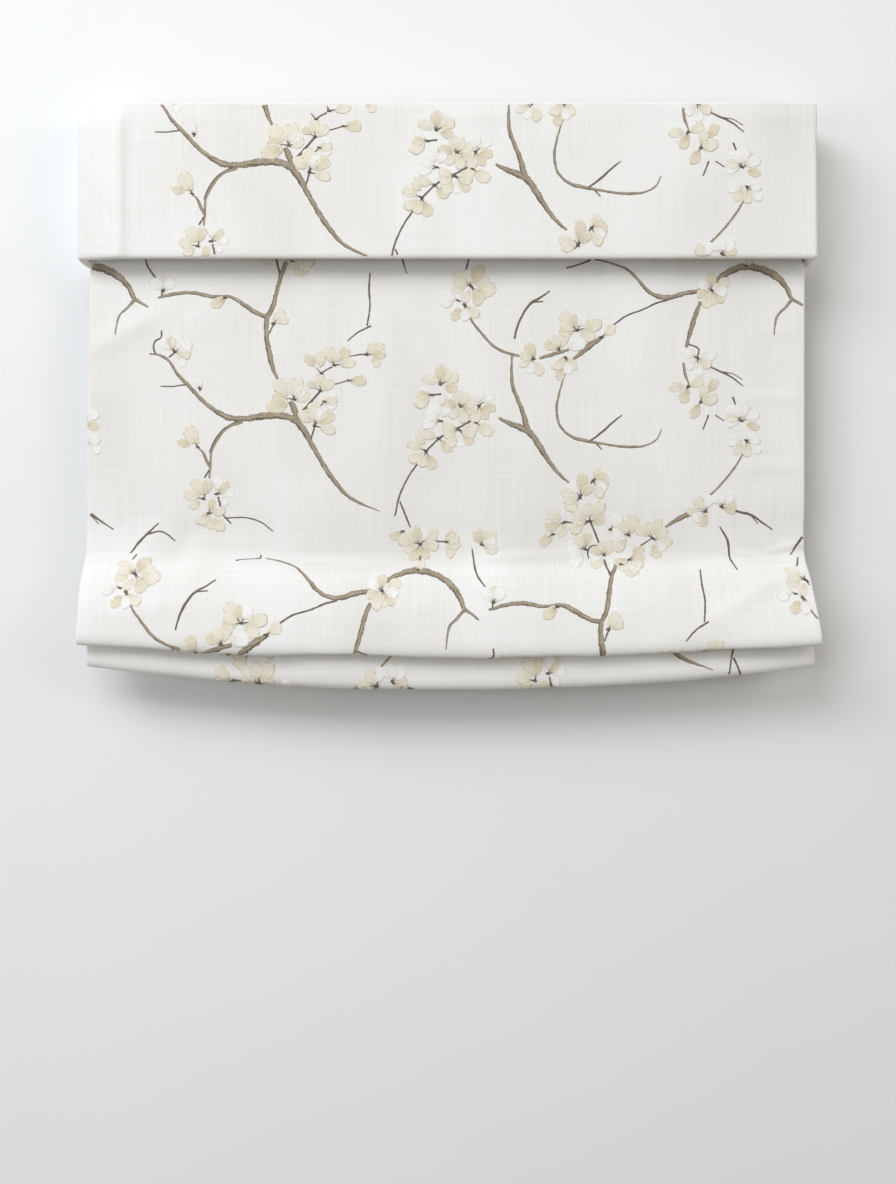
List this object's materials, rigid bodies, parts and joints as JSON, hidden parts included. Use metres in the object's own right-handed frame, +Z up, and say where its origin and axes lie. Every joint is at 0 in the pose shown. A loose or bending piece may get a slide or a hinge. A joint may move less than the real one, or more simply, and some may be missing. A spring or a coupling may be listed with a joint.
{
  "type": "roman blind",
  "caption": "Relaxed cordless roman blind in embroidered cloth, with a boxed valance, a spring-lift headrail on wall brackets and a gathered foot.",
  "frame": {"origin": "middle of the four wall screw holes, on the face of the wall", "axes": "+X along the wall to the right as seen from the room, +Y into the wall, +Z up"},
  "size_m": [0.762, 0.0819, 0.6032],
  "materials": {
    "steel": "zinc plated, satin",
    "aluminium": "white anodised, satin",
    "plastic": "moulded, matt",
    "tape": "hook and loop tape",
    "board": "hardboard",
    "cloth": "slubby linen weave with embroidered branches",
    "lining": "plain cotton lining",
    "ribbon": "flat woven ribbon",
    "branch_thread": "taupe embroidery thread",
    "petal_thread": "cream embroidery thread"
  },
  "bodies": {
    "frame": {"wall_bracket_left": "steel", "wall_bracket_right": "steel", "bracket_screws": "steel", "bracket_nuts": "steel", "spring_motor_screws": "steel", "headrail": "aluminium", "headrail_cap_left": "plastic", "headrail_cap_right": "plastic", "spool_cradle_left": "plastic", "spool_cradle_centre": "plastic", "spool_cradle_right": "plastic", "spring_motor_case": "plastic", "spring_motor_cover": "plastic", "brake_case": "plastic", "hook_tape": "tape", "loop_tape": "tape", "valance_grip_tape": "tape", "valance_top_board": "board", "valance_front_board": "board", "valance_return_left": "board", "valance_return_right": "board", "valance_cover": "cloth", "face_cloth": "cloth", "lining": "lining", "lift_ribbons": "ribbon", "valance_branches": "branch_thread", "panel_branches": "branch_thread", "valance_blossoms": "petal_thread", "panel_blossoms": "petal_thread"},
    "shaft": {"lift_shaft": "steel", "spool_left": "plastic", "spool_centre": "plastic", "spool_right": "plastic", "ribbon_rolls": "ribbon"},
    "upper_batten": {"batten_upper": "plastic", "batten_pocket_upper": "lining", "ribbon_guides_upper": "plastic"},
    "gathered_foot": {"batten_middle": "plastic", "batten_pocket_middle": "lining", "ribbon_guides_middle": "plastic", "batten_lower": "plastic", "batten_pocket_lower": "lining", "ribbon_guides_lower": "plastic", "batten_bottom": "plastic", "batten_pocket_bottom": "lining", "ribbon_anchors": "plastic", "fold_clips": "plastic", "bottom_bar": "aluminium", "bottom_bar_cap_left": "plastic", "bottom_bar_cap_right": "plastic"}
  },
  "joints": [
    {"name": "lift", "type": "slide", "parent": "frame", "child": "gathered_foot", "axis": [0, 0, 1], "range_m": [0, 0.26], "deforming": ["face_cloth", "panel_branches", "panel_blossoms", "lining", "lift_ribbons"]},
    {"name": "upper_row_lift", "type": "slide", "parent": "frame", "child": "upper_batten", "axis": [0, 0, 1], "range_m": [0, 0.131]},
    {"name": "shaft_turn", "type": "hinge", "parent": "frame", "child": "shaft", "pos_m": [0, -0.026, 0.0485], "axis": [1, 0, 0], "range_deg": [-1680, 0]}
  ],
  "couplings": [
    {"joint": "upper_row_lift", "follows": "lift", "ratio": 0.5},
    {"joint": "shaft_turn", "follows": "lift", "rad_per_m": -111.1}
  ]
}
